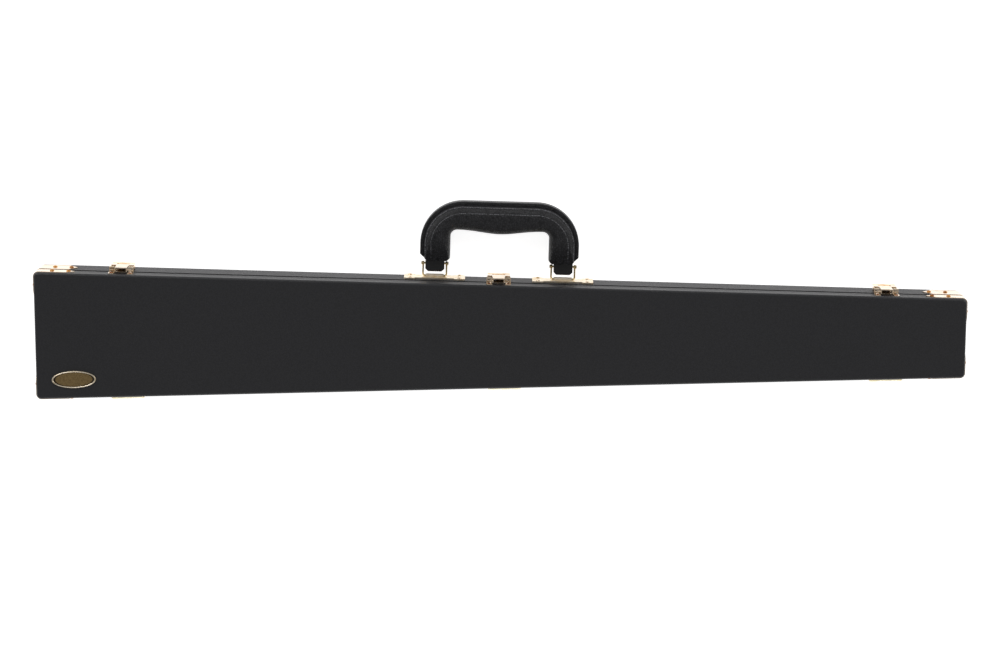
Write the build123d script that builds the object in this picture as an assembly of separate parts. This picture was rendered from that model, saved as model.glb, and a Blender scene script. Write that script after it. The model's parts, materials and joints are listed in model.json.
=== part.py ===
from build123d import *
from math import atan, cos, degrees, hypot, radians
import os

# Bow case for bass bows, lying on its base with the lid up.
# Row frame, millimetres: +X runs from the wide end to the narrow end, +Y points to the handle side, +Z up.
# The origin is the middle of the case's underside.

# Outer shell
case_length = 820.0
wide_end_width = 114.0
narrow_end_width = 71.0
base_depth = 28.0
lid_depth = 16.0
seam_gap = 0.9
corner_radius = 4.2
edge_radius = 2.2
covering_thickness = 0.8
rim_rounding = 1.3
face_covering_lap = 5.0
wall_thickness = 4.2
base_panel_thickness = 4.2
lid_panel_thickness = 3.2

# Lining and bow rests
lining_thickness = 1.4
lining_lip_height = 2.4
lining_lip_clearance = 0.4
pad_thickness = 4.0
lid_pad_thickness = 5.0
pad_edge_radius = 3.0
rest_height = 11.0
frog_rest_x = -215.0
frog_rest_length = 30.0
frog_groove_radius = 7.0
frog_groove_y = 25.0
tip_rest_x = 340.0
tip_rest_length = 26.0
tip_groove_radius = 6.0
tip_groove_y = 14.0
rest_end_gap = 1.0
rest_rounding = 2.5
tab_pivot_y = 9.0
tab_reach = 24.0
tab_heel = 6.0
tab_width = 9.0
tab_thickness = 2.6
tab_lift = 0.4
tab_screw_radius = 1.75
tab_screw_depth = 8.0
tab_screw_head_radius = 4.0
tab_screw_head_height = 1.8
running_clearance = 0.06

# Corner straps
strap_thickness = 0.6
strap_side_reach = 35.7
strap_end_reach = 25.0
strap_tip_length = 8.0
strap_corner_zone = 9.0
base_strap_z = (6.6, 26.2)
lid_strap_z = (29.8, 41.4)

# Badge plate, bare
badge_length = 39.0
badge_width = 15.2
badge_from_wide_end = 33.6
badge_from_hinge_edge = 17.4
badge_thickness = 0.8
badge_rim_width = 1.3
badge_rim_height = 0.5

# Butt hinges on the hinge side
hinge_xs = {"left": -331.0, "middle": 3.5, "right": 342.0}
hinge_length = 28.0
hinge_leaf_height = 11.5
hinge_leaf_thickness = 1.0
hinge_leaf_corner = 2.0
knuckle_count = 5
knuckle_gap = 0.3
knuckle_radius = 2.2
knuckle_offset = 2.4
hinge_pin_radius = 0.97
hinge_pin_head_radius = 1.7
hinge_pin_head_length = 0.6

# Draw latches on the handle side
latch_xs = {"left": -334.0, "middle": -1.8, "right": 340.0}
latch_width = 21.5
latch_sheet = 0.8
latch_stand_off = 5.2
fulcrum_height = 23.0
fulcrum_offset = 2.9
link_pin_height = 16.0
link_pin_offset = 2.5
bracket_bottom = 12.2
bracket_top = 26.8
cheek_inner_half_width = 8.3
cheek_height_span = (20.4, 25.6)
stub_pin_radius = 0.8
stub_head_radius = 1.5
stub_head_length = 0.5
flange_inner_half_width = 9.3
lever_bottom = 10.8
lever_web_top = 15.0
lever_tab_top = 23.0
lever_tab_inner = 5.7
link_pin_radius = 0.7
link_eye_radius = 1.45
link_half_width = 5.3
link_ramp = (19.2, 20.8)
link_top = 36.3
link_flange_bottom = 29.4
link_flange_foot = 1.4
link_arm_height = 32.7
link_arm_offset = 2.3
link_arm_radius = 0.6
keeper_span = (29.8, 41.0)
keeper_notch_bottom = 31.8
keeper_ear_height = 31.0
keeper_ear_inner = 5.9
keeper_window = (6.7, 9.9)
keeper_window_offsets = (0.9, 3.6)
keeper_roll_radius = 0.8

# Handle, its wire stirrups and plates
handle_middle_x = -1.8
handle_plate_u = 56.8
handle_plate_length = 54.0
handle_plate_height = 15.0
handle_plate_end_length = 10.0
handle_plate_end_height = 21.0
handle_plate_thickness = 1.2
handle_plate_corner = 2.5
bridge_radius = 1.7
bridge_length = 16.0
stirrup_wire_radius = 0.8
stirrup_pivot_offset = 2.05
stirrup_half_width = 10.4
stirrup_bend_radius = 1.8
stirrup_eye_offset = 13.2
stirrup_eye_radius = 1.75
stirrup_eye_half_length = 0.95
handle_pin_radius = 0.9
handle_pin_head_radius = 1.4
handle_pin_head_length = 0.6
handle_half_span = 70.2
handle_top = 69.8
handle_shoulder_radius = 38.0
handle_opening_half = 43.6
handle_opening_top = 44.5
handle_belly = 41.3
handle_inner_radius = 6.0
leg_bottom = 16.4
leg_outer_chamfer = (6.4, 5.8)
leg_inner_chamfer = (3.0, 2.6)
grip_half_thickness = 13.0
handle_axis_height = grip_half_thickness
leg_half_thickness = 8.0
leg_taper_top = 35.0
grip_rounding = 9.0
spine_width = 3.6
spine_lap = 5.0
spine_half_thickness = 5.0
spine_rounding = 1.2
tongue_half_width = 8.4
tongue_half_thickness = 3.0
tongue_bottom = 6.0
tongue_top = 31.0
tongue_corner = 2.6

# Values worked out from the driving ones
case_height = base_depth + lid_depth
base_rim = base_depth - seam_gap / 2
lid_rim = base_depth + seam_gap / 2
mean_half_width = (wide_end_width + narrow_end_width) / 4
side_slope = (narrow_end_width - wide_end_width) / 2 / case_length
taper = degrees(atan(side_slope))
floor_top = covering_thickness + base_panel_thickness
roof_bottom = case_height - covering_thickness - lid_panel_thickness
shell_inset = covering_thickness + wall_thickness
lining_inset = shell_inset + lining_thickness
rest_bottom = floor_top + pad_thickness
rest_top = rest_bottom + rest_height


def half_width(x):
    return mean_half_width + side_slope * x


# Closed outline of the case, drawn in from the outside by an inset (or out by a negative one)
def sharp_outline(inset):
    end = case_length / 2 - inset
    side = inset / cos(radians(taper))
    wide = half_width(-end) - side
    narrow = half_width(end) - side
    return make_face(Polyline((-end, -wide), (end, -narrow), (end, narrow), (-end, wide), close=True))


def outline(inset, radius):
    return fillet(sharp_outline(inset).vertices(), radius)


def slab(inset, radius, bottom, top):
    return extrude(Pos(0, 0, bottom) * outline(inset, radius), top - bottom)


def sharp_slab(inset, bottom, top):
    return extrude(Pos(0, 0, bottom) * sharp_outline(inset), top - bottom)


# Places on the two long walls: local x along the wall, local y outwards, local z up
def on_handle_wall(u, height=0.0):
    return Location((u, half_width(u), height), (0, 0, taper))


def on_hinge_wall(u, height=0.0):
    return Location((u, -half_width(u), height), (0, 0, 180 - taper))


# A profile drawn as (height, stand-off) points, extruded along a wall from one local x to another
def wall_profile(points, start, end):
    face = make_face(Polyline(*[(start, offset, height) for height, offset in points], close=True))
    return extrude(face, amount=end - start, dir=(1, 0, 0))


def rod_along_wall(height, offset, radius, start, end):
    rod = extrude(Circle(radius), end - start)
    return Location((start, offset, height), (0, 90, 0)) * rod


def edges_at(solid, height):
    return [e for e in solid.edges() if abs(e.bounding_box().min.Z - height) < 1e-4
            and abs(e.bounding_box().max.Z - height) < 1e-4]


# The leatherette of one shell: a skin that is turned in over the rim as far as the lining
def covering_skin(depth):
    outer = fillet(edges_at(slab(0, corner_radius, 0, depth), 0), edge_radius)
    turn_in = depth - covering_thickness
    inner = slab(covering_thickness, corner_radius - covering_thickness, covering_thickness, turn_in)
    inner = fillet(edges_at(inner, covering_thickness), edge_radius - covering_thickness)
    mouth = sharp_slab(shell_inset, turn_in, depth)
    skin = outer - inner - mouth
    rim = [e for e in edges_at(skin, depth) if is_outermost(e)]
    return fillet(rim, rim_rounding)


def is_outermost(edge):
    place = edge @ 0.5
    end_gap = case_length / 2 - abs(place.X)
    side_gap = half_width(place.X) - abs(place.Y)
    return min(end_gap, side_gap) < shell_inset / 2


# The panel that closes a shell, and the four boards that stand on it
def shell_panel(panel):
    inset = covering_thickness
    board = slab(inset, corner_radius - inset, inset, inset + panel)
    return fillet(edges_at(board, inset), edge_radius - inset)


def shell_walls(depth, panel):
    low = covering_thickness + panel
    high = depth - covering_thickness
    outer = slab(covering_thickness, corner_radius - covering_thickness, low, high)
    ring = outer - sharp_slab(shell_inset, low, high)
    middle = Box(case_length - 2 * shell_inset, 2 * wide_end_width, 4 * case_height)
    return solids_of(ring & middle, ring - middle)


# Turns a shell drawn face down into the lid
def as_lid(solid):
    flipped = Rotation(180, 0, 0) * solid
    return Pos(0, 0, case_height) * flipped


def cut_at_lap(skin):
    cut = Pos(0, 0, face_covering_lap) * Box(
        2 * case_length, 2 * wide_end_width, 2 * case_height,
        align=(Align.CENTER, Align.CENTER, Align.MIN))
    return skin - cut, skin & cut


# Four lining strips cut from one ring, so that each lies flat on its wall
def strips(inner_inset, outer_inset, bottom, top):
    ring = sharp_slab(outer_inset, bottom, top) - sharp_slab(inner_inset, bottom, top)
    middle = Box(case_length - 2 * inner_inset, 2 * wide_end_width, 4 * case_height)
    return ring & middle, ring - middle


# In the base the lining stands proud of the rim, a little way in, and locates the lid
def base_wall_lining():
    step = base_rim - lining_lip_clearance
    long_low, ends_low = strips(lining_inset, shell_inset, floor_top, step)
    long_lip, ends_lip = strips(lining_inset, shell_inset + lining_lip_clearance, step, base_rim + lining_lip_height)
    return solids_of(long_low + long_lip, ends_low + ends_lip)


def lid_wall_lining():
    low = base_rim + lining_lip_height + 1.0
    return solids_of(*strips(lining_inset, shell_inset, low, roof_bottom))


def solids_of(*shapes):
    return Compound(children=[s for shape in shapes for s in shape.solids()])


def soft_pad(bottom, top, crown_up):
    pad = slab(lining_inset + 0.2, corner_radius / 2, bottom, top)
    return fillet(edges_at(pad, top if crown_up else bottom), pad_edge_radius)


# A block across the case with one groove for each bow
def bow_rest(x, length, groove_radius, groove_y):
    half = half_width(x + length / 2) - lining_inset - rest_end_gap
    block = Pos(x, 0, rest_bottom) * Box(
        length, 2 * half, rest_height, align=(Align.CENTER, Align.CENTER, Align.MIN))
    for side in (-1, 1):
        groove = Location((x, side * groove_y, rest_top), (0, 90, 0)) * Cylinder(groove_radius, 2 * length)
        block -= groove
    return fillet(edges_at(block, rest_top), rest_rounding / 2)


def frog_rest():
    block = bow_rest(frog_rest_x, frog_rest_length, frog_groove_radius, frog_groove_y)
    for side in (-1, 1):
        block -= tab_screw_shank(side)
    return block


def tab_screw_shank(side):
    depth = tab_screw_depth + tab_lift + tab_thickness + tab_lift
    return Pos(frog_rest_x, side * tab_pivot_y, rest_top - tab_screw_depth) * extrude(
        Circle(tab_screw_radius), depth)


def tab_screw(side):
    head_z = rest_top + 2 * tab_lift + tab_thickness
    head = Pos(frog_rest_x, side * tab_pivot_y, head_z) * extrude(
        Circle(tab_screw_head_radius), tab_screw_head_height)
    head = fillet(edges_at(head, head_z + tab_screw_head_height), tab_screw_head_height * 0.8)
    return tab_screw_shank(side) + head


# Turn tab that closes over one bow
def bow_tab(side):
    length = tab_reach + tab_heel
    middle = tab_pivot_y + (tab_reach - tab_heel) / 2
    plan = RectangleRounded(tab_width, length, tab_width * 0.45)
    tab = extrude(Pos(frog_rest_x, side * middle, rest_top + tab_lift) * plan, tab_thickness)
    tab = fillet(edges_at(tab, rest_top + tab_lift + tab_thickness), 1.0)
    hole = Pos(frog_rest_x, side * tab_pivot_y, rest_top) * extrude(
        Circle(tab_screw_radius + running_clearance), 2 * tab_thickness)
    return tab - hole


# Brass strap bent round one upright corner, with a pointed end on each wall
def corner_strap(end, side, heights):
    low, high = heights
    middle = (low + high) / 2
    ring = slab(-strap_thickness, corner_radius + strap_thickness, low, high) - slab(0, corner_radius, low, high)
    outer_x = case_length / 2 + 2 * strap_thickness
    x_tip = case_length / 2 - strap_side_reach
    x_shoulder = x_tip + strap_tip_length
    edge_y = half_width(end * case_length / 2)
    outer_y = edge_y + 3 * strap_thickness
    y_tip = edge_y - strap_end_reach
    y_shoulder = y_tip + strap_tip_length
    long_shape = make_face(Polyline(
        (end * outer_x, 0, low), (end * x_shoulder, 0, low), (end * x_tip, 0, middle),
        (end * x_shoulder, 0, high), (end * outer_x, 0, high), close=True))
    near = edge_y - strap_corner_zone
    long_zone = extrude(long_shape, amount=outer_y + strap_corner_zone - near, dir=(0, side, 0))
    long_zone = Pos(0, side * near, 0) * long_zone
    end_shape = make_face(Polyline(
        (0, side * outer_y, low), (0, side * y_shoulder, low), (0, side * y_tip, middle),
        (0, side * y_shoulder, high), (0, side * outer_y, high), close=True))
    end_zone = extrude(end_shape, amount=outer_x - case_length / 2 + strap_corner_zone, dir=(end, 0, 0))
    end_zone = Pos(end * (case_length / 2 - strap_corner_zone), 0, 0) * end_zone
    return (ring & long_zone) + (ring & end_zone)


def badge_plate():
    x = -case_length / 2 + badge_from_wide_end
    y = -half_width(x) + badge_from_hinge_edge
    place = Location((x, y, case_height), (0, 0, -taper))
    plate = extrude(Ellipse(badge_length / 2, badge_width / 2), badge_thickness)
    rim = Ellipse(badge_length / 2, badge_width / 2) - Ellipse(
        badge_length / 2 - badge_rim_width, badge_width / 2 - badge_rim_width)
    rim = extrude(Pos(0, 0, badge_thickness) * rim, badge_rim_height)
    return place * (plate + rim)


# Hinge leaf with its own knuckles; the base leaf holds the odd ones and the lid leaf the even ones
def hinge_leaf(on_base):
    pitch = hinge_length / knuckle_count
    plan = RectangleRounded(hinge_length, 2 * hinge_leaf_height, hinge_leaf_corner)
    leaf = extrude(Rotation(90, 0, 0) * plan, -hinge_leaf_thickness)
    half = Box(2 * hinge_length, 4 * hinge_leaf_thickness, 2 * hinge_leaf_height,
               align=(Align.CENTER, Align.CENTER, Align.MAX if on_base else Align.MIN))
    leaf = leaf & half
    for i in range(knuckle_count):
        start = -hinge_length / 2 + i * pitch
        own = (i % 2 == 0) == on_base
        if own:
            first = start + (knuckle_gap / 2 if i > 0 else 0)
            last = start + pitch - (knuckle_gap / 2 if i < knuckle_count - 1 else 0)
            leaf += rod_along_wall(0, knuckle_offset, knuckle_radius, first, last)
        else:
            leaf -= rod_along_wall(0, knuckle_offset, knuckle_radius + knuckle_gap,
                                   start - knuckle_gap / 2, start + pitch + knuckle_gap / 2)
    bore = rod_along_wall(0, knuckle_offset, hinge_pin_radius + running_clearance, -hinge_length, hinge_length)
    return leaf - bore


def hinge_pin():
    half = hinge_length / 2 + running_clearance
    pin = rod_along_wall(0, knuckle_offset, hinge_pin_radius, -half, half)
    for side in (-1, 1):
        ends = sorted((side * half, side * (half + hinge_pin_head_length)))
        head = rod_along_wall(0, knuckle_offset, hinge_pin_head_radius, *ends)
        rim = [e for e in head.edges() if abs(e.center().X) > half + hinge_pin_head_length / 2
               and e.geom_type == GeomType.CIRCLE]
        pin += fillet(rim, hinge_pin_head_length * 0.8)
    return pin


# Bracket screwed to the base: a plate with two cheeks that carry the lever
def latch_bracket():
    half = latch_width / 2 - latch_sheet
    plate = extrude(Rotation(90, 0, 0) * Pos(0, (bracket_bottom + bracket_top) / 2, 0)
                    * RectangleRounded(2 * half, bracket_top - bracket_bottom, 1.5), -latch_sheet)
    low, high = cheek_height_span
    for side in (-1, 1):
        ends = sorted((side * cheek_inner_half_width, side * (cheek_inner_half_width + latch_sheet)))
        cheek = wall_profile([(low, latch_sheet / 2), (high, latch_sheet / 2), (high, fulcrum_offset),
                              (low, fulcrum_offset)], *ends)
        cheek += rod_along_wall(fulcrum_height, fulcrum_offset, (high - low) / 2 * 0.5, *ends)
        cheek -= rod_along_wall(fulcrum_height, fulcrum_offset, stub_pin_radius, *ends)
        plate += cheek
    return plate


# The two stub rivets on which a lever turns
def fulcrum_pins():
    pins = []
    inner = cheek_inner_half_width - stub_head_length
    outer = flange_inner_half_width + latch_sheet + running_clearance
    for side in (-1, 1):
        shank = rod_along_wall(fulcrum_height, fulcrum_offset, stub_pin_radius,
                               *sorted((side * (inner + stub_head_length), side * outer)))
        for start in (inner, outer):
            shank += rod_along_wall(fulcrum_height, fulcrum_offset, stub_head_radius,
                                    *sorted((side * start, side * (start + stub_head_length))))
        pins.append(shank)
    return pins


# Lever: a finger plate that leaves the middle to the link, folded into two side flanges that reach up to the fulcrum
def latch_lever():
    web_in = latch_stand_off - latch_sheet
    half = flange_inner_half_width + latch_sheet
    lever = wall_profile([(lever_bottom, web_in + 0.9), (lever_bottom + 0.7, web_in + 1.3),
                          (lever_bottom + 2.2, latch_stand_off), (lever_web_top, latch_stand_off),
                          (lever_web_top, web_in), (lever_bottom + 2.2, web_in)], -half, half)
    eye = fulcrum_height
    for side in (-1, 1):
        ends = sorted((side * flange_inner_half_width, side * half))
        flange = wall_profile([(lever_bottom + 2.4, web_in + 0.2), (lever_bottom + 3.2, 1.2),
                               (eye, fulcrum_offset - 1.7), (eye, fulcrum_offset + 1.7),
                               (lever_web_top + 0.6, latch_stand_off), (lever_bottom + 2.4, latch_stand_off)], *ends)
        flange += rod_along_wall(eye, fulcrum_offset, 1.7, *ends)
        flange -= rod_along_wall(eye, fulcrum_offset, stub_pin_radius + running_clearance, *ends)
        flange -= rod_along_wall(link_pin_height, link_pin_offset, link_pin_radius, *ends)
        tab = wall_profile([(lever_web_top - 1, latch_stand_off), (lever_tab_top, latch_stand_off),
                            (lever_tab_top, web_in), (lever_web_top - 1, web_in)],
                           *sorted((side * lever_tab_inner, side * half)))
        lever += flange + tab
    return lever


def link_pin():
    half = flange_inner_half_width + latch_sheet
    return rod_along_wall(link_pin_height, link_pin_offset, link_pin_radius, -half, half)


# Link: an eye on the lever's pin, a strip that rises clear of the lid and two side arms that hook the keeper
def latch_link():
    web_in = latch_stand_off - latch_sheet
    low = link_pin_offset - latch_sheet / 2
    high = link_pin_offset + latch_sheet / 2
    ramp_start, ramp_end = link_ramp
    half = link_half_width
    link = wall_profile([(link_pin_height, low), (ramp_start, low), (ramp_end, web_in), (link_top, web_in),
                         (link_top, latch_stand_off), (ramp_end - 0.3, latch_stand_off),
                         (ramp_start - 0.3, high), (link_pin_height, high)], -half, half)
    link += rod_along_wall(link_pin_height, link_pin_offset, link_eye_radius, -half, half)
    link -= rod_along_wall(link_pin_height, link_pin_offset, link_pin_radius + running_clearance, -half, half)
    for side in (-1, 1):
        ends = sorted((side * (half - latch_sheet), side * half))
        link += wall_profile([(link_flange_bottom, web_in), (link_flange_bottom + 1.0, link_flange_foot),
                              (link_top, link_flange_foot), (link_top, web_in)], *ends)
        arm = sorted((side * (half - latch_sheet / 2), side * (latch_width / 2 - 0.3)))
        link += rod_along_wall(link_arm_height, link_arm_offset, link_arm_radius, *arm)
    return link


# Keeper on the lid: a forked plate with two rolled ears, each pierced under the link's arm
def latch_keeper():
    low, high = keeper_span
    plan = Pos(0, (low + high) / 2) * RectangleRounded(latch_width, high - low, 1.0)
    notch = Pos(0, (keeper_notch_bottom + case_height) / 2) * Rectangle(
        2 * keeper_ear_inner, case_height - keeper_notch_bottom)
    plate = extrude(Rotation(90, 0, 0) * (plan - notch), -latch_sheet)
    roll_offset = latch_stand_off - keeper_roll_radius
    window_in, window_out = keeper_window_offsets
    for side in (-1, 1):
        ends = sorted((side * keeper_ear_inner, side * latch_width / 2))
        plate += wall_profile([(keeper_ear_height, latch_sheet / 2),
                               (keeper_ear_height + latch_sheet, latch_sheet / 2),
                               (keeper_ear_height + latch_sheet, roll_offset),
                               (keeper_ear_height, roll_offset)], *ends)
        plate += rod_along_wall(keeper_ear_height + latch_sheet - keeper_roll_radius, roll_offset,
                                keeper_roll_radius, *ends)
        plate -= wall_profile([(keeper_ear_height - 1, window_in), (keeper_notch_bottom + 1, window_in),
                               (keeper_notch_bottom + 1, window_out), (keeper_ear_height - 1, window_out)],
                              *sorted((side * keeper_window[0], side * keeper_window[1])))
    return plate


# Plate, broader at its ends, with the rolled bridge that holds a stirrup's foot
def handle_plate():
    plan = RectangleRounded(handle_plate_length, handle_plate_height, handle_plate_corner)
    for side in (-1, 1):
        plan += Pos(side * (handle_plate_length - handle_plate_end_length) / 2, 0) * RectangleRounded(
            handle_plate_end_length, handle_plate_end_height, handle_plate_corner)
    plate = extrude(Rotation(90, 0, 0) * plan, -handle_plate_thickness)
    half = bridge_length / 2
    bridge = rod_along_wall(0, stirrup_pivot_offset, bridge_radius, -half, half)
    bridge += wall_profile([(-bridge_radius, 0), (bridge_radius, 0), (bridge_radius, stirrup_pivot_offset),
                            (-bridge_radius, stirrup_pivot_offset)], -half, half)
    bore = rod_along_wall(0, stirrup_pivot_offset, stirrup_wire_radius + running_clearance, -half, half)
    return plate + bridge - bore


# Wire stirrup: a foot in the plate's bridge and two legs rolled into eyes
def stirrup():
    half = stirrup_half_width
    foot = stirrup_pivot_offset
    bend = stirrup_bend_radius
    top = stirrup_eye_offset - stirrup_eye_radius + stirrup_wire_radius / 2
    path = FilletPolyline((-half, top, 0), (-half, foot, 0), (half, foot, 0), (half, top, 0), radius=bend)
    wire = sweep(Plane(origin=(-half, top, 0), z_dir=(0, -1, 0)) * Circle(stirrup_wire_radius), path=path)
    for side in (-1, 1):
        ends = (side * half - stirrup_eye_half_length, side * half + stirrup_eye_half_length)
        wire += rod_along_wall(0, stirrup_eye_offset, stirrup_eye_radius, *ends)
        wire -= rod_along_wall(0, stirrup_eye_offset, handle_pin_radius + running_clearance, *ends)
    return wire


def handle_pin():
    inner = stirrup_half_width + stirrup_eye_half_length + 2 * running_clearance
    pin = rod_along_wall(0, stirrup_eye_offset, handle_pin_radius, -inner, inner)
    for side in (-1, 1):
        pin += rod_along_wall(0, stirrup_eye_offset, handle_pin_head_radius,
                              *sorted((side * inner, side * (inner + handle_pin_head_length))))
    return pin


# Tongue at each end of the handle's core, with the hole for its pin
def handle_tongue():
    plan = Pos(0, (tongue_bottom + tongue_top) / 2) * Rectangle(2 * tongue_half_width, tongue_top - tongue_bottom)
    plan = chamfer(plan.vertices().sort_by(Axis.Y)[:2], tongue_corner)
    tongue = extrude(plan, tongue_half_thickness, both=True)
    tongue = fillet([e for e in tongue.edges() if abs(e.center().Y - tongue_bottom) < 0.01
                     and e.bounding_box().size.X > 1], 1.2)
    return tongue - rod_along_wall(0, stirrup_eye_offset, handle_pin_radius, -tongue_half_width, tongue_half_width)


# Outer plan of the handle, drawn in from its edge by an inset
def handle_outline(inset):
    half = handle_half_span - inset
    top = handle_top - inset
    plan = make_face(Polyline((-half, leg_bottom), (half, leg_bottom), (half, top), (-half, top), close=True))
    return fillet(plan.vertices().sort_by(Axis.Y)[2:], handle_shoulder_radius - inset)


# Finger opening, whose top swells down into the grip's belly
def finger_opening():
    half = handle_opening_half
    top = handle_opening_top
    r = handle_inner_radius
    return make_face([
        Polyline((-half, top - r), (-half, 0), (half, 0), (half, top - r)),
        RadiusArc((half, top - r), (half - r, top), -r),
        Spline((half - r, top), (0, handle_belly), (-half + r, top), tangents=[(-1, 0), (-1, 0)]),
        RadiusArc((-half + r, top), (-half, top - r), -r)])


# Corners cut off the foot of both legs
def leg_corners():
    cuts = []
    for side in (-1, 1):
        for edge, way, (dx, dy) in ((handle_half_span, -1, leg_outer_chamfer),
                                    (handle_opening_half, 1, leg_inner_chamfer)):
            x = side * edge
            corner = make_face(Polyline((x, leg_bottom), (x + side * way * dx, leg_bottom),
                                        (x, leg_bottom + dy), close=True))
            cuts.append(extrude(corner, 2 * grip_half_thickness, both=True))
    return cuts


# Moulded grip: a rounded body with tapered legs, and a narrower spine round its outer edge
def handle_grip():
    t, g = leg_half_thickness, grip_half_thickness
    body = extrude(handle_outline(spine_width) - finger_opening(), g, both=True)
    body = fillet(face_loops(body, g), grip_rounding)
    sides = make_face(Polyline((0, leg_bottom, -t), (0, leg_taper_top, -g), (0, handle_top, -g),
                               (0, handle_top, g), (0, leg_taper_top, g), (0, leg_bottom, t), close=True))
    body = body & extrude(sides, amount=handle_half_span, dir=(1, 0, 0), both=True)
    band = handle_outline(0) - finger_opening() - handle_outline(spine_width + spine_lap)
    spine = extrude(band, spine_half_thickness, both=True)
    spine = fillet([e for e in face_loops(spine, spine_half_thickness) if lies_outside(e)], spine_rounding)
    grip = body + spine
    for cut in leg_corners():
        grip -= cut
    for side in (-1, 1):
        socket = Box(2 * tongue_half_width, tongue_top, 2 * tongue_half_thickness,
                     align=(Align.CENTER, Align.MIN, Align.CENTER))
        grip -= Pos(side * handle_plate_u, 0, 0) * socket
    return grip


def face_loops(solid, height):
    return [e for e in solid.edges() if abs(abs(e.center().Z) - height) < 0.01
            and e.center().Y > leg_bottom + 0.5]


def lies_outside(edge):
    place = edge @ 0.5
    inner_top = handle_top - spine_width
    return abs(place.X) > handle_half_span - spine_width or place.Y > inner_top or \
        hypot(abs(place.X) - handle_half_span + handle_shoulder_radius,
              place.Y - handle_top + handle_shoulder_radius) > handle_shoulder_radius - 0.5


def save(name, *shapes):
    solids = [s for shape in shapes for s in shape.solids()]
    shape = solids[0] if len(solids) == 1 else Compound(children=solids)
    export_step(shape, "parts/" + name + ".step")


def make_shells():
    depth = base_rim
    face, band = cut_at_lap(covering_skin(depth))
    save("base_panel", shell_panel(base_panel_thickness))
    save("base_walls", shell_walls(depth, base_panel_thickness))
    save("base_bottom_covering", face)
    save("base_side_covering", band)
    depth = case_height - lid_rim
    face, band = cut_at_lap(covering_skin(depth))
    save("lid_panel", as_lid(shell_panel(lid_panel_thickness)))
    save("lid_walls", as_lid(shell_walls(depth, lid_panel_thickness)))
    save("lid_top_covering", as_lid(face))
    save("lid_side_covering", as_lid(band))


def make_interior():
    save("base_wall_lining", base_wall_lining())
    save("lid_wall_lining", lid_wall_lining())
    save("base_floor_pad", soft_pad(floor_top, rest_bottom, True))
    save("lid_pad", soft_pad(roof_bottom - lid_pad_thickness, roof_bottom, False))
    save("frog_rest", frog_rest())
    save("tip_rest", bow_rest(tip_rest_x, tip_rest_length, tip_groove_radius, tip_groove_y))
    save("bow_tab_handle_side", bow_tab(1))
    save("bow_tab_hinge_side", bow_tab(-1))
    save("bow_tab_screws", tab_screw(1), tab_screw(-1))


def make_corners():
    for end, end_name in ((-1, "wide"), (1, "narrow")):
        for side, side_name in ((1, "handle"), (-1, "hinge")):
            place = end_name + "_" + side_name
            save("base_corner_" + place, corner_strap(end, side, base_strap_z))
            save("lid_corner_" + place, corner_strap(end, side, lid_strap_z))


def make_hinges():
    pins = []
    for name, x in hinge_xs.items():
        place = on_hinge_wall(x, base_depth)
        save("hinge_base_leaf_" + name, place * hinge_leaf(True))
        save("hinge_lid_leaf_" + name, place * hinge_leaf(False))
        pins.append(place * hinge_pin())
    save("hinge_pins", *pins)


def make_latches():
    pins = []
    for name, x in latch_xs.items():
        place = on_handle_wall(x)
        save("latch_bracket_" + name, place * latch_bracket())
        save("latch_lever_" + name, place * latch_lever())
        save("latch_link_pin_" + name, place * link_pin())
        save("latch_link_" + name, place * latch_link())
        save("latch_keeper_" + name, place * latch_keeper())
        pins += [place * pin for pin in fulcrum_pins()]
    save("latch_fulcrum_pins", *pins)


def make_handle():
    wall = on_handle_wall(handle_middle_x, handle_axis_height)
    save("handle_grip", wall * handle_grip())
    tongues, pins = [], []
    for side, name in ((-1, "left"), (1, "right")):
        place = wall * Pos(side * handle_plate_u, 0, 0)
        save("handle_plate_" + name, place * handle_plate())
        save("stirrup_" + name, place * stirrup())
        tongues.append(place * handle_tongue())
        pins.append(place * handle_pin())
    save("handle_tongues", *tongues)
    save("handle_pins", *pins)


os.makedirs("parts", exist_ok=True)
make_shells()
make_interior()
make_corners()
make_hinges()
make_latches()
make_handle()
save("badge_plate", badge_plate())
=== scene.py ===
import bpy
import bmesh
import json
from math import atan, cos, pi, radians, sin, sqrt
from mathutils import Matrix, Vector


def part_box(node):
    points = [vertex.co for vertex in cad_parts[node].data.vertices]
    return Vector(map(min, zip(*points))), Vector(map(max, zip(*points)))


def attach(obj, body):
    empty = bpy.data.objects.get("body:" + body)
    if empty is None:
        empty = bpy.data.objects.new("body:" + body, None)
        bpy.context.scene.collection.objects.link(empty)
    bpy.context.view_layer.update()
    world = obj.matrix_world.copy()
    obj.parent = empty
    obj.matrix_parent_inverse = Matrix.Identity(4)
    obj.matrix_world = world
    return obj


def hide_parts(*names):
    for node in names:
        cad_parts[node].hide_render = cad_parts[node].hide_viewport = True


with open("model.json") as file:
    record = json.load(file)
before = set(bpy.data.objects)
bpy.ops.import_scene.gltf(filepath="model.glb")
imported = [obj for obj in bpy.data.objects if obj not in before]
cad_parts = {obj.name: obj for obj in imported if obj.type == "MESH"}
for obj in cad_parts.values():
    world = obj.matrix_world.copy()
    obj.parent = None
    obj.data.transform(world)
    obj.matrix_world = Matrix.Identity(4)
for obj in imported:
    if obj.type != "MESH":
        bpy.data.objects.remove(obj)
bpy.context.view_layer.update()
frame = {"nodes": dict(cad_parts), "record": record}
mm = 0.001
print("frame loaded,", len(frame["nodes"]), "nodes")

# The case in plan: it tapers evenly from the wide end to the narrow end
caseShape = {
    "length": 820 * mm,
    "wideEnd": 114 * mm,
    "narrowEnd": 71 * mm,
    "seamHeight": 28 * mm,
    "liningInset": 6.6 * mm,  # outside of the case to the face of the lining, and a hair more
}
sideSlope = (caseShape["narrowEnd"] - caseShape["wideEnd"]) / 2 / caseShape["length"]
taper = atan(sideSlope)


def halfWidth(x):
    return (caseShape["wideEnd"] + caseShape["narrowEnd"]) / 4 + sideSlope * x


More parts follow.
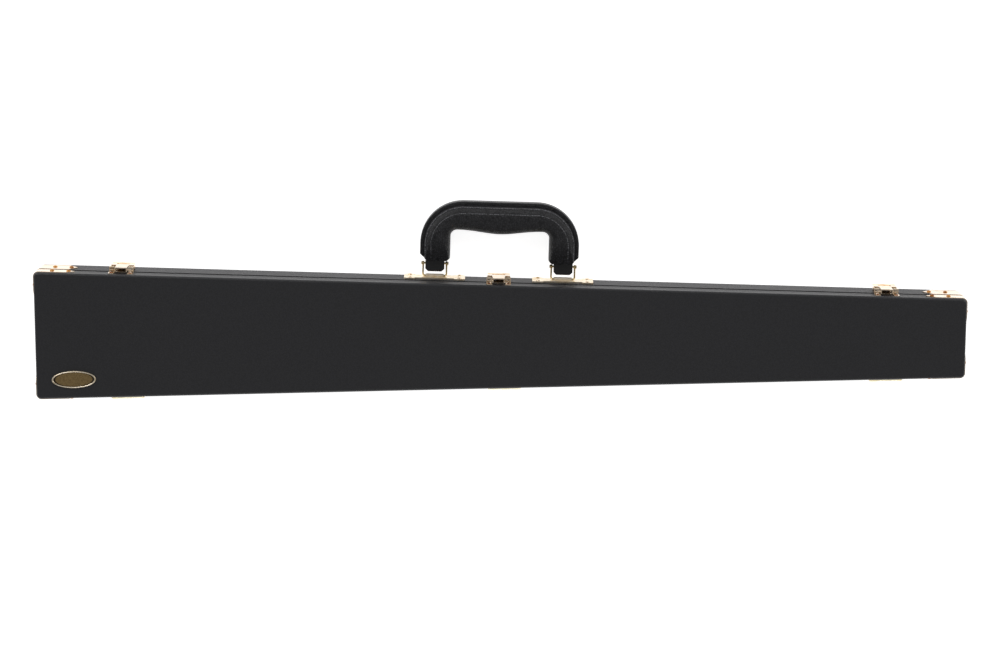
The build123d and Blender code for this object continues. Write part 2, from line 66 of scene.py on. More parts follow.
# A place on a long wall and the way it faces: side 1 is the handle wall, side -1 the hinge wall
def onWall(side, x, along, height, proud):
    facing = Vector((-sin(taper), side * cos(taper), 0))
    run = Vector((cos(taper), side * sin(taper), 0))
    foot = Vector((x, side * halfWidth(x), height))
    return foot + run * along + facing * proud, facing


def addObject(name, data):
    added = bpy.data.objects.new(name, data)
    bpy.context.collection.objects.link(added)
    return added


def meshFrom(bm, name):
    mesh = bpy.data.meshes.new(name)
    bm.to_mesh(mesh)
    bm.free()
    return mesh


# Nodes and colours

def srgb(hexText):
    channels = [int(hexText[i:i + 2], 16) / 255 for i in (1, 3, 5)]
    return [c / 12.92 if c <= 0.04045 else ((c + 0.055) / 1.055) ** 2.4 for c in channels] + [1.0]


def addNode(tree, kind, values=None, links=None, **settings):
    node = tree.nodes.new(kind)
    for key, value in settings.items():
        setattr(node, key, value)
    for key, value in (values or {}).items():
        node.inputs[key].default_value = value
    for key, socket in (links or {}).items():
        tree.links.new(socket, node.inputs[key])
    return node


# One sum, whose terms are numbers or other nodes' sockets
def addMath(tree, operation, *terms):
    values = {i: term for i, term in enumerate(terms) if isinstance(term, (int, float))}
    links = {i: term for i, term in enumerate(terms) if i not in values}
    return addNode(tree, "ShaderNodeMath", values, links, operation=operation).outputs["Value"]


# Noise with so many features to a metre; a finish keeps one noise's numbers together, in this order
def addNoise(tree, vector, features, detail, roughness=0.5, distortion=0.0):
    values = {"Scale": features, "Detail": detail, "Roughness": roughness, "Distortion": distortion}
    return addNode(tree, "ShaderNodeTexNoise", values, {"Vector": vector})


# Each stop is a position and a hex colour
def addRamp(tree, factor, *stops):
    ramp = addNode(tree, "ShaderNodeValToRGB", links={"Fac": factor})
    elements = ramp.color_ramp.elements
    while len(elements) < len(stops):
        elements.new(0.5)
    for element, (position, hexText) in zip(elements, stops):
        element.position = position
        element.color = srgb(hexText)
    return ramp.outputs["Color"]


# Leads a value that runs from start to stop over to the range from low to high
def addRange(tree, value, low, high, start=0.0, stop=1.0):
    values = {"From Min": start, "From Max": stop, "To Min": low, "To Max": high}
    return addNode(tree, "ShaderNodeMapRange", values, {"Value": value}).outputs["Result"]


def addBump(tree, height, strength, depth):
    values = {"Strength": strength, "Distance": depth}
    return addNode(tree, "ShaderNodeBump", values, {"Height": height}).outputs["Normal"]


# Repeats a vector at another size, turn or place
def remap(tree, vector, **values):
    return addNode(tree, "ShaderNodeMapping", values, {"Vector": vector}).outputs["Vector"]


def newMaterial(name):
    material = bpy.data.materials.new(name)
    material.use_nodes = True
    tree = material.node_tree
    place = addNode(tree, "ShaderNodeTexCoord").outputs["Object"]
    return material, tree, tree.nodes["Principled BSDF"], place


# Leads sockets to a shader's inputs and sets other inputs on the shader itself
def setShader(tree, shader, links, values):
    for key, socket in links.items():
        tree.links.new(socket, shader.inputs[key])
    for key, value in values.items():
        shader.inputs[key].default_value = value


# One at the seam, fading to none at a height above and below it
def seamShare(tree, place, reach, full):
    height = addNode(tree, "ShaderNodeSeparateXYZ", links={"Vector": place}).outputs["Z"]
    distance = addMath(tree, "ABSOLUTE", addMath(tree, "SUBTRACT", height, caseShape["seamHeight"]))
    return addRange(tree, distance, 1.0, 0.0, full, reach)


# A colour darkened where the share is high
def dimmed(tree, colour, share, dimming):
    kept = addMath(tree, "MULTIPLY_ADD", share, -dimming, 1.0)
    links = {"Vector": colour, "Scale": kept}
    return addNode(tree, "ShaderNodeVectorMath", links=links, operation="SCALE").outputs["Vector"]


# Finishes

leatherette = {
    "grain": 1.0 * mm, "softness": 0.35,        # width of one pebble of the emboss, and how its edge melts away
    "drift": (400.0, 2.0), "stray": 0.5 * mm,   # the pebbles stray from an even field
    "relief": ((0.10, "#ffffff"), (0.62, "#000000")),   # from a pebble's top to the valley beside it
    "lit": 0.75,                                # from this height on a pebble has its full colour
    "rubs": (9.0, 5.0, 0.6), "smoother": 0.03, "rougher": 0.04,
    "foldReach": 2.5 * mm, "foldFull": 0.75,    # the turned-in edge along the seam,
    "seamPaintedShade": 0.8, "foldMattness": 0.5,    # painted dark as the shade of the parting line, and matt
    "bumps": 1.0, "refraction": 1.5,
}
# The emboss is pressed nearly flat on the broad faces, and the deep pebbles of the sides break up the sheen
leatheretteSkins = {
    "flat": {"face": "#262629", "valley": "#1c1c1f", "depth": 0.015 * mm, "roughness": 0.46, "glance": 0.5},
    "deep": {"face": "#2b292d", "valley": "#19181b", "depth": 0.12 * mm, "roughness": 0.50, "glance": 0.28},
}


# PVC-coated cloth with a calendered pebble grain: soft sheen, tiny glints on the pebbles
def makeLeatherette(name, kind):
    facts, skin = leatherette, leatheretteSkins[kind]
    material, tree, shader, place = newMaterial(name)
    drift = addNoise(tree, place, *facts["drift"]).outputs["Color"]
    bent = addNode(tree, "ShaderNodeVectorMath", {1: (facts["stray"],) * 3}, {0: drift, 2: place},
                   operation="MULTIPLY_ADD").outputs["Vector"]
    pebbles = addNode(tree, "ShaderNodeTexVoronoi", {"Scale": 1 / facts["grain"], "Smoothness": facts["softness"]},
                      {"Vector": bent}, feature="SMOOTH_F1").outputs["Distance"]
    rounded = addRamp(tree, pebbles, *facts["relief"])
    tint = addRamp(tree, rounded, (0.0, skin["valley"]), (facts["lit"], skin["face"]))
    rubbedAndPaintedHighlight = addNoise(tree, place, *facts["rubs"]).outputs["Fac"]
    gloss = addRange(tree, rubbedAndPaintedHighlight, skin["roughness"] - facts["smoother"], skin["roughness"] + facts["rougher"])
    # Near the seam the colour is darkened as painted shade for the parting line, and the roughness is raised there
    fold = seamShare(tree, place, facts["foldReach"], facts["foldReach"] * facts["foldFull"])
    setShader(tree, shader, {
        "Base Color": dimmed(tree, tint, fold, facts["seamPaintedShade"]),
        "Roughness": addMath(tree, "MULTIPLY_ADD", fold, facts["foldMattness"], gloss),
        "Normal": addBump(tree, rounded, facts["bumps"], skin["depth"]),
    }, {"IOR": facts["refraction"], "Specular IOR Level": skin["glance"]})
    return material


# Each brass has a bright colour, the colour where it is tarnished, and a roughness
brass = {
    "plate": ("#f5e2c9", "#dcbf98", 0.16),
    "wire": ("#e0cc9c", "#bfa468", 0.20),
    "nail": ("#c08a4c", "#7d4a20", 0.28),
    "satin": ("#fbeed8", "#ecd6b0", 0.34),
    # painted shade: the brackets' brass is darkened for the shadow behind the levers
    "hidden": ("#7c6140", "#3c2b1a", 0.42),
    "hinge": ("#fdf5dc", "#efe0b4", 0.30),
    "keeperRivet": ("#7a4424", "#35180c", 0.30),
}
brassSkin = {
    "clouds": (140.0, 4.0, 0.55), "tarnished": 0.30, "clean": 0.55,
    "hairlines": (2000.0, 3.0),   # drawn coarser than they are so that they show
    "stretch": (0.08, 1.0, 1.0),  # the hairlines run along the case
    "smoother": 0.05, "rougher": 0.10,
    "relief": (0.35, 0.02 * mm),  # strength and depth
}


# Steel pressings with a bright brass plate, buffed: mirror highlights, faint hairlines, a little warm tarnish
def makeBrass(name, kind):
    bright, dark, polish = brass[kind]
    facts = brassSkin
    material, tree, shader, place = newMaterial(name)
    tarnish = addNoise(tree, place, *facts["clouds"]).outputs["Fac"]
    stretched = remap(tree, place, Scale=facts["stretch"])
    hairlines = addNoise(tree, stretched, *facts["hairlines"]).outputs["Fac"]
    setShader(tree, shader, {
        "Base Color": addRamp(tree, tarnish, (facts["tarnished"], dark), (facts["clean"], bright)),
        "Roughness": addRange(tree, hairlines, polish - facts["smoother"], polish + facts["rougher"]),
        "Normal": addBump(tree, hairlines, *facts["relief"]),
    }, {"Metallic": 1.0})
    return material


# The bands run out from the middle of the oval: low field, dark ring, bright rim
badge = {
    "length": 39 * mm, "width": 15.2 * mm,
    "bands": ((0.0, "#a68c60"), (0.82, "#a68c60"), (0.87, "#2c2218"), (0.91, "#2c2218"), (0.93, "#efe2c8")),
    "mottle": (900.0, 5.0, 0.65),
    "wash": (0.55, 1.0), "washSpan": (0.35, 0.7),   # how dark the wash is, and the span of mottle it follows
    "gloss": (0.5, 0.26), "metal": 0.85,
    "relief": (0.5, 0.05 * mm),
}


# Die-struck brass, antiqued: a dark wash left in the low field, the raised rim rubbed bright
def makeAgedBrass(name):
    material, tree, shader, place = newMaterial(name)
    low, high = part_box("badge_plate")
    middle = (low + high) / 2
    turned = remap(tree, remap(tree, place, Location=tuple(-middle)), Rotation=(0, 0, taper))
    shares = remap(tree, turned, Scale=(2 / badge["length"], 2 / badge["width"], 0))
    reach = addNode(tree, "ShaderNodeVectorMath", links={0: shares}, operation="LENGTH").outputs["Value"]
    bands = addRamp(tree, reach, *badge["bands"])
    mottle = addNoise(tree, place, *badge["mottle"]).outputs["Fac"]
    wash = addRange(tree, mottle, *badge["wash"], *badge["washSpan"])
    shaded = addNode(tree, "ShaderNodeVectorMath", links={0: bands, 1: wash}, operation="MULTIPLY")
    setShader(tree, shader, {
        "Base Color": shaded.outputs["Vector"],
        "Roughness": addRange(tree, mottle, *badge["gloss"]),
        "Normal": addBump(tree, mottle, *badge["relief"]),
    }, {"Metallic": badge["metal"]})
    return material


grip = {
    "face": "#29292c", "valley": "#0a0a0b",
    "rubbedAndPaintedHighlight": "#6c6c70",          # the ridges, painted pale as a highlight along them
    "grain": 1.9 * mm,            # drawn twice as coarse as it is so that it shows
    "cells": ((0.02, "#000000"), (0.30, "#ffffff")),   # from a crease up to the flat of a cell
    "fine": 2.5, "fineShare": 0.5,                     # grains in the width of a cell, and how much they add
    "dark": 0.2, "lit": 0.9,                           # heights with the valley's and the face's full colour
    "handled": (35.0, 4.0), "roughness": 0.38, "smoother": 0.07, "rougher": 0.08,
    "detail": 3.0, "glance": 0.3,
    "relief": (0.8, 0.30 * mm),
}


# Soft PVC moulded over a steel core in a grained mould: darker and shinier than the case
def makeMouldedVinyl(name, face):
    material, tree, shader, place = newMaterial(name)
    creases = addNode(tree, "ShaderNodeTexVoronoi", {"Scale": 1 / grip["grain"]}, {"Vector": place},
                      feature="DISTANCE_TO_EDGE").outputs["Distance"]
    cells = addRamp(tree, creases, *grip["cells"])
    fine = addNoise(tree, place, grip["fine"] / grip["grain"], grip["detail"]).outputs["Fac"]
    height = addMath(tree, "MULTIPLY_ADD", fine, grip["fineShare"], cells)
    handled = addNoise(tree, place, *grip["handled"]).outputs["Fac"]
    setShader(tree, shader, {
        "Base Color": addRamp(tree, height, (grip["dark"], grip["valley"]), (grip["lit"], face)),
        "Roughness": addRange(tree, handled, grip["roughness"] - grip["smoother"],
                              grip["roughness"] + grip["rougher"]),
        "Normal": addBump(tree, height, *grip["relief"]),
    }, {"Specular IOR Level": grip["glance"]})
    return material


enamel = {
    "tones": ((0.3, "#131314"), (0.7, "#1c1c1d")), "grains": (700.0, 2.0),
    "relief": (0.3, 0.03 * mm), "roughness": 0.3,
}
nylon = {
    "tones": ((0.3, "#161617"), (0.7, "#222224")), "grains": (2400.0, 3.0),
    "relief": (0.5, 0.04 * mm), "roughness": 0.5,
}


# Stoved black enamel, glassy with the faintest orange peel, or black nylon with a spark-eroded matt skin
def makeBlackSkin(name, skin):
    material, tree, shader, place = newMaterial(name)
    grains = addNoise(tree, place, *skin["grains"]).outputs["Fac"]
    setShader(tree, shader, {
        "Base Color": addRamp(tree, grains, *skin["tones"]),
        "Normal": addBump(tree, grains, *skin["relief"]),
    }, {"Roughness": skin["roughness"]})
    return material


velvet = {
    "tones": ((0.55, "#2c070e"), (0.98, "#5a1420")),   # from shadow to pile
    "tuft": 0.5 * mm,     # pile direction changes, drawn coarser than single tufts so that they show
    "crush": 14 * mm,     # width of the patches where the pile has been brushed over
    "tuftNoise": (3.0, 0.7), "crushNoise": (4.0, 0.5, 1.2), "tuftShare": 0.6,
    "relief": (0.7, 0.25 * mm),
    "roughness": 0.95, "glance": 0.15,
    "sheen": 0.6, "sheenRoughness": 0.35, "sheenTint": "#c8707c",
}


# Short-pile cotton velvet: dark seen straight on, light along its curves, patchy where it was stroked
def makeVelvet(name):
    material, tree, shader, place = newMaterial(name)
    tufts = addNoise(tree, place, 1 / velvet["tuft"], *velvet["tuftNoise"]).outputs["Fac"]
    strokes = addNoise(tree, place, 1 / velvet["crush"], *velvet["crushNoise"]).outputs["Fac"]
    lean = addMath(tree, "MULTIPLY_ADD", tufts, velvet["tuftShare"], strokes)
    setShader(tree, shader, {
        "Base Color": addRamp(tree, lean, *velvet["tones"]),
        "Normal": addBump(tree, tufts, *velvet["relief"]),
    }, {"Roughness": velvet["roughness"], "Specular IOR Level": velvet["glance"],
        "Sheen Weight": velvet["sheen"], "Sheen Roughness": velvet["sheenRoughness"],
        "Sheen Tint": srgb(velvet["sheenTint"])})
    return material


plywood = {
    "tones": ((0.0, "#b08d5e"), (0.6, "#cfae7d")),
    "rings": 110.0, "waver": 5.0, "detail": 3.0,   # rings to a metre across the grain
    "stretch": (0.06, 1.0, 1.0),                   # the grain runs along the case
    "paintReach": 3.2 * mm, "paintFull": 3.0 * mm, "paint": 0.97,
    "relief": (0.3, 0.05 * mm), "roughness": 0.62,
}


# Poplar plywood, sanded and left bare under the covering: pale, straight grained, dry; its edges at the seam
# are painted black, as they show when the lid is open
def makePlywood(name):
    material, tree, shader, place = newMaterial(name)
    waves = {"Scale": plywood["rings"], "Distortion": plywood["waver"], "Detail": plywood["detail"]}
    stretched = remap(tree, place, Scale=plywood["stretch"])
    rings = addNode(tree, "ShaderNodeTexWave", waves, {"Vector": stretched}, bands_direction="Y").outputs["Fac"]
    edge = seamShare(tree, place, plywood["paintReach"], plywood["paintFull"])
    setShader(tree, shader, {
        "Base Color": dimmed(tree, addRamp(tree, rings, *plywood["tones"]), edge, plywood["paint"]),
        "Normal": addBump(tree, rings, *plywood["relief"]),
    }, {"Roughness": plywood["roughness"]})
    return material


finishes = {
    "smooth_leatherette": makeLeatherette("leatherettePressedFlat", "flat"),
    "grained_leatherette": makeLeatherette("leatherettePebbled", "deep"),
    "brass_plate": makeBrass("brassPlatedSteelBuffed", "plate"),
    "brass_wire": makeBrass("brassPlatedWireDrawn", "wire"),
    "copperNails": makeBrass("copperPlatedNailsTarnished", "nail"),
    "satinPlates": makeBrass("brassPlatedSteelSatin", "satin"),
    "bracketBrassPaintedShade": makeBrass("brassPlatedSteelPaintedShade", "hidden"),
    "hingeBrass": makeBrass("brassRolledHinges", "hinge"),
    "keeperRivets": makeBrass("copperRivetsDarkened", "keeperRivet"),
    "aged_brass": makeAgedBrass("brassStruckAndAntiqued"),
    "moulded_handle": makeMouldedVinyl("vinylMouldedGrained", grip["face"]),
    # A pale copy of the grip's vinyl for the ridges: a painted highlight
    "ridgesPaintedHighlight": makeMouldedVinyl("vinylMouldedPaintedHighlight", grip["rubbedAndPaintedHighlight"]),
    "black_enamel": makeBlackSkin("enamelStovedBlack", enamel),
    "velvet": makeVelvet("cottonVelvetShortPile"),
    "wood": makePlywood("poplarPlywoodSanded"),
    "turn_tab_plastic": makeBlackSkin("nylonMouldedMatt", nylon),
}

# The brackets sit behind the levers, their brass painted dark and rough as the shade the levers cast, the handle's
# plates have a satin face, and the hinges are plain rolled brass, pale along the edge that the light grazes
ownFinish = {
    "latch_bracket": "bracketBrassPaintedShade", "handle_plate": "satinPlates",
    "hinge_base_leaf": "hingeBrass", "hinge_lid_leaf": "hingeBrass",
}
slotOfNode = {part["node"]: part["material_slot"] for part in frame["record"]["subparts"]}
for nodeName, nodeObject in frame["nodes"].items():
    for materialSlot in nodeObject.material_slots:
        family = nodeName.rsplit("_", 1)[0]
        materialSlot.material = finishes[ownFinish.get(family, slotOfNode[nodeName])]
print("finishes on", len(frame["nodes"]), "nodes")


# Geometry Nodes: small metal shapes with their sizes as named inputs

def newTree(name, source, sizes, result):
    tree = bpy.data.node_groups.new(name, "GeometryNodeTree")
    tree.interface.new_socket(source, in_out="INPUT", socket_type="NodeSocketGeometry")
    for size in sizes:
        tree.interface.new_socket(size, in_out="INPUT", socket_type="NodeSocketFloat")
    tree.interface.new_socket("Finish", in_out="INPUT", socket_type="NodeSocketMaterial")
    tree.interface.new_socket(result, in_out="OUTPUT", socket_type="NodeSocketGeometry")
    return tree, addNode(tree, "NodeGroupInput")


def endTree(tree, given, shape, result):
    real = addNode(tree, "GeometryNodeRealizeInstances", links={"Geometry": shape})
    smooth = addNode(tree, "GeometryNodeSetShadeSmooth", links={"Geometry": real.outputs["Geometry"]})
    painted = addNode(tree, "GeometryNodeSetMaterial", links={
        "Geometry": smooth.outputs["Geometry"], "Material": given.outputs["Finish"]})
    addNode(tree, "NodeGroupOutput", links={result: painted.outputs["Geometry"]})
    return tree


# Runs a tree over a mesh, its inputs set by the sockets' identifiers, and keeps the result as a plain mesh
def grown(seed, tree, values):
    carrier = addObject(seed.name, seed)
    modifier = carrier.modifiers.new("made", "NODES")
    modifier.node_group = tree
    for socket in tree.interface.items_tree:
        if socket.in_out == "INPUT" and socket.name in values:
            modifier[socket.identifier] = values[socket.name]
    evaluated = carrier.evaluated_get(bpy.context.evaluated_depsgraph_get())
    mesh = bpy.data.meshes.new_from_object(evaluated)
    bpy.data.objects.remove(carrier)
    return mesh


def transformed(tree, shape, **links):
    return addNode(tree, "GeometryNodeTransform", links={"Geometry": shape, **links}).outputs["Geometry"]


def combined(tree, values=None, **links):
    return addNode(tree, "ShaderNodeCombineXYZ", values, links).outputs["Vector"]


# Nails, rivets and screws

# Domed nails through the corner straps, in from the end of the case
strapNails = {
    "radius": 2.0 * mm, "rise": 1.3 * mm,
    "fromEnd": (15.6 * mm, 30.1 * mm),
    "onEndWall": 12.4 * mm,   # from the corner, round on the end wall
    "baseHeight": 16.4 * mm, "lidHeight": 35.6 * mm,
    "strap": 0.6 * mm,
}
plateRivets = {
    "radius": 1.9 * mm, "rise": 1.1 * mm, "along": 22.0 * mm, "across": 7.0 * mm,
    "plate": 1.2 * mm, "centre": 56.8 * mm,
}
latchRivets = {
    "radius": 1.2 * mm, "rise": 0.6 * mm, "plate": 0.8 * mm,
    "bracket": ((-5.0 * mm, 20.6 * mm), (5.0 * mm, 20.6 * mm), (0.0, 13.0 * mm)),
    "keeper": ((-8.3 * mm, 38.2 * mm), (8.3 * mm, 38.2 * mm)),
}
hingeScrews = {
    "radius": 1.75 * mm, "rise": 0.75 * mm, "slotWidth": 0.45 * mm, "leaf": 1.0 * mm,
    "along": (-9.5 * mm, 0.0, 9.5 * mm), "fromAxis": 7.6 * mm,
}
latchPlaces = (-334 * mm, -1.8 * mm, 340 * mm)
hingePlaces = (-331 * mm, 3.5 * mm, 342 * mm)
handlePlace = -1.8 * mm
dome = {"segments": 20, "rings": 12, "slotReach": 3.0}   # the slot's cutter is so many radii long


# A tree that stands one head on every point, turned to face the way the point's "facing" says
def headTree(name, makeHead, sizes):
    tree, given = newTree(name, "Points", sizes, "Heads")
    facing = addNode(tree, "GeometryNodeInputNamedAttribute", {"Name": "facing"}, data_type="FLOAT_VECTOR")
    turn = addNode(tree, "FunctionNodeAlignRotationToVector", links={"Vector": facing.outputs["Attribute"]},
                   axis="Z")
    placed = addNode(tree, "GeometryNodeInstanceOnPoints", links={
        "Points": given.outputs["Points"], "Instance": makeHead(tree, given),
        "Rotation": turn.outputs["Rotation"]})
    return endTree(tree, given, placed.outputs["Instances"], "Heads")


# Low dome: a sphere flattened to its rise, whose lower half sits in the plate
def domeHead(tree, given):
    ball = addNode(tree, "GeometryNodeMeshUVSphere", {
        "Segments": dome["segments"], "Rings": dome["rings"], "Radius": 1.0})
    size = combined(tree, X=given.outputs["Radius"], Y=given.outputs["Radius"], Z=given.outputs["Rise"])
    return transformed(tree, ball.outputs["Mesh"], Scale=size)


# The same dome with a screwdriver slot cut across it
def slottedHead(tree, given):
    span = addMath(tree, "MULTIPLY", given.outputs["Radius"], dome["slotReach"])
    size = combined(tree, X=span, Y=given.outputs["Slot Width"], Z=given.outputs["Rise"])
    bar = addNode(tree, "GeometryNodeMeshCube", links={"Size": size})
    lift = combined(tree, Z=given.outputs["Rise"])
    raised = transformed(tree, bar.outputs["Mesh"], Translation=lift)
    cut = addNode(tree, "GeometryNodeMeshBoolean", links={
        "Mesh 1": domeHead(tree, given), "Mesh 2": raised}, operation="DIFFERENCE")
    return cut.outputs["Mesh"]


# Stands heads on a set of points, riding on one body
def setHeads(name, tree, places, kind, finish, body, slot):
    mesh = bpy.data.meshes.new(name + "Points")
    mesh.from_pydata([place for place, facing in places], [], [])
    ways = mesh.attributes.new("facing", "FLOAT_VECTOR", "POINT")
    for i, (place, facing) in enumerate(places):
        ways.data[i].vector = facing
    piece = addObject(name, grown(mesh, tree, {
        "Radius": kind["radius"], "Rise": kind["rise"], "Slot Width": kind.get("slotWidth", 0),
        "Finish": finishes[finish]}))
    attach(piece, body)


def nailPlaces(height):
    places = []
    for end in (-1, 1):
        for side in (-1, 1):
            for inset in strapNails["fromEnd"]:
                x = end * (caseShape["length"] / 2 - inset)
                places.append(onWall(side, x, 0, height, strapNails["strap"]))
            x = end * (caseShape["length"] / 2 + strapNails["strap"])
            y = side * (halfWidth(end * caseShape["length"] / 2) - strapNails["onEndWall"])
            places.append((Vector((x, y, height)), Vector((end, 0, 0))))
    return places


def rivetPlaces(spots):
    return [onWall(1, x, along, height, latchRivets["plate"]) for x in latchPlaces for along, height in spots]


# Screws of the hinges' leaves: part 1 on the lid, part -1 on the base
def screwPlaces(part):
    height = caseShape["seamHeight"] + part * hingeScrews["fromAxis"]
    return [onWall(-1, x, along, height, hingeScrews["leaf"])
            for x in hingePlaces for along in hingeScrews["along"]]


handleCentre = (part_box("handle_plate_left")[0].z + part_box("handle_plate_left")[1].z) / 2
platePlaces = [
    onWall(1, handlePlace, end * plateRivets["centre"] + along * plateRivets["along"],
           handleCentre + across * plateRivets["across"], plateRivets["plate"])
    for end in (-1, 1) for along in (-1, 1) for across in (-1, 1)]
domeTree = headTree("domedHeads", domeHead, ("Radius", "Rise"))
slotTree = headTree("slottedHeads", slottedHead, ("Radius", "Rise", "Slot Width"))

headSets = (
    ("strap_nails_base", domeTree, nailPlaces(strapNails["baseHeight"]), strapNails, "copperNails", "base"),
    ("strap_nails_lid", domeTree, nailPlaces(strapNails["lidHeight"]), strapNails, "copperNails", "lid"),
    ("handle_plate_rivets", domeTree, platePlaces, plateRivets, "brass_plate", "base"),
    ("latch_bracket_rivets", domeTree, rivetPlaces(latchRivets["bracket"]), latchRivets, "brass_plate", "base"),
    ("latch_keeper_rivets", domeTree, rivetPlaces(latchRivets["keeper"]), latchRivets, "keeperRivets", "lid"),
    ("hinge_screws_base", slotTree, screwPlaces(-1), hingeScrews, "brass_plate", "base"),
    ("hinge_screws_lid", slotTree, screwPlaces(1), hingeScrews, "brass_plate", "lid"),
)
for headSet in headSets:
    setHeads(*headSet, "brass_plate")
print("nails, rivets and screws set")


# Bright bead struck round the badge's rim: a round wire swept along an oval

bead = {"radius": 0.5 * mm, "inset": 0.55 * mm, "sunk": 0.2 * mm, "points": 96, "sides": 10}


def beadTree():
    tree, given = newTree("rimBead", "Geometry", ("Half Length", "Half Width", "Radius"), "Bead")
    circle = addNode(tree, "GeometryNodeCurvePrimitiveCircle", {"Resolution": bead["points"], "Radius": 1.0})
    span = combined(tree, {"Z": 1.0}, X=given.outputs["Half Length"], Y=given.outputs["Half Width"])
    oval = transformed(tree, circle.outputs["Curve"], Scale=span)
    wire = addNode(tree, "GeometryNodeCurvePrimitiveCircle", {"Resolution": bead["sides"]},
                   {"Radius": given.outputs["Radius"]})
    swept = addNode(tree, "GeometryNodeCurveToMesh", links={"Curve": oval, "Profile Curve": wire.outputs["Curve"]})
    return endTree(tree, given, swept.outputs["Mesh"], "Bead")


def makeBead():
    low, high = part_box("badge_plate")
    mesh = grown(bpy.data.meshes.new("beadSeed"), beadTree(), {
        "Half Length": badge["length"] / 2 - bead["inset"], "Half Width": badge["width"] / 2 - bead["inset"],
        "Radius": bead["radius"], "Finish": finishes["satinPlates"]})
    middle = (low + high) / 2
    place = Matrix.Translation((middle.x, middle.y, high.z - bead["sunk"])) @ Matrix.Rotation(-taper, 4, "Z")
    mesh.transform(place)
    piece = addObject("badge_rim_bead", mesh)
    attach(piece, "lid")


makeBead()
print("badge bead made")


# Moulded ridges that follow the handle's outer edge, two on each face

handleShape = {
    "halfSpan": 70.2 * mm, "top": 69.8 * mm, "shoulder": 38.0 * mm,
    "foot": 16.4 * mm, "footCut": (6.4 * mm, 5.8 * mm),   # chamfer at the foot of each leg
    "axis": 13.0 * mm,                                    # height of the handle's middle plane
    "body": 13.0 * mm, "leg": 8.0 * mm, "legTop": 35.0 * mm,
    "spine": 3.6 * mm, "rounding": 9.0 * mm,
}
ridge = {
    "rows": ((4.9 * mm, 0.75 * mm), (9.7 * mm, 0.42 * mm)),   # inset from the outer edge, and radius
    "sunk": 0.2 * mm, "sides": 8, "spacing": 2.0 * mm,
    "fade": 4,                                                # rings over which each end runs out
}


# Height of the grip's surface over its middle plane, some way in from the outer edge
def gripHeight(inset, reach):
    shape = handleShape
    inward = min(inset - shape["spine"], shape["rounding"])
    rise = sqrt(shape["rounding"] ** 2 - (shape["rounding"] - inward) ** 2)
    legShare = (reach - shape["foot"]) / (shape["legTop"] - shape["foot"])
    leg = shape["leg"] + legShare * (shape["body"] - shape["leg"])
    return min(shape["body"] - shape["rounding"] + rise, leg)


# Up one leg, round its shoulder and along half the top, then the same mirrored
def ridgePath(inset, radius):
    shape = handleShape
    half = shape["halfSpan"] - inset
    top = shape["top"] - inset
    bend = shape["shoulder"] - inset
    cutWidth, cutHeight = shape["footCut"]
    foot = shape["foot"] + max(0.0, cutHeight * (1 - inset / cutWidth)) + radius
    steps = round((top - bend - foot) / ridge["spacing"])
    leftHalf = [(-half, foot + (top - bend - foot) * i / steps) for i in range(steps)]
    turns = round(bend * pi / 2 / ridge["spacing"])
    for i in range(turns + 1):
        angle = pi - pi / 2 * i / turns
        leftHalf.append((-half + bend + bend * cos(angle), top - bend + bend * sin(angle)))
    return leftHalf + [(-along, reach) for along, reach in reversed(leftHalf)]


def ridgeMesh(bm, inset, radius, face):
    places = []
    for along, reach in ridgePath(inset, radius):
        height = handleShape["axis"] + face * (gripHeight(inset, reach) - ridge["sunk"])
        places.append(onWall(1, handlePlace, along, height, reach)[0])
    last = len(places) - 1
    rings = []
    for i, place in enumerate(places):
        ahead = (places[min(i + 1, last)] - places[max(i - 1, 0)]).normalized()
        across = ahead.cross(Vector((0, 0, 1))).normalized()
        up = across.cross(ahead)
        fade = min(1.0, (min(i, last - i) + 1) / ridge["fade"])
        ring = []
        for k in range(ridge["sides"]):
            angle = 2 * pi * k / ridge["sides"]
            ring.append(bm.verts.new(place + radius * fade * (across * cos(angle) + up * sin(angle))))
        rings.append(ring)
    for first, second in zip(rings, rings[1:]):
        for k in range(ridge["sides"]):
            after = (k + 1) % ridge["sides"]
            bm.faces.new((first[k], first[after], second[after], second[k]))
    bm.faces.new(reversed(rings[0]))
    bm.faces.new(rings[-1])


def makeRidges():
    bm = bmesh.new()
    for inset, radius in ridge["rows"]:
        for face in (-1, 1):
            ridgeMesh(bm, inset, radius, face)
    bmesh.ops.recalc_face_normals(bm, faces=bm.faces)
    mesh = meshFrom(bm, "handle_ridges")
    mesh.shade_smooth()
    # painted highlight: the ridges take the pale vinyl
    mesh.materials.append(finishes["ridgesPaintedHighlight"])
    ridges = addObject("handle_ridges", mesh)
    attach(ridges, "handle")


makeRidges()
print("handle ridges made")


# Padded lining

pads = {
    "cell": 4.0 * mm, "rows": 24,           # mesh spacing along the case, and cells across it
    "roll": 2.4 * mm, "rollDepth": 0.55,    # how far in the pad's edge rolls over, and how deep, as a share
    "glued": 0.3 * mm,                      # what lies this near the back is held by glue
    "pressure": 1.2, "stiffness": 8, "frames": 14,
    "mostRise": 0.9 * mm,                   # the wadding lifts the velvet no more than this
}


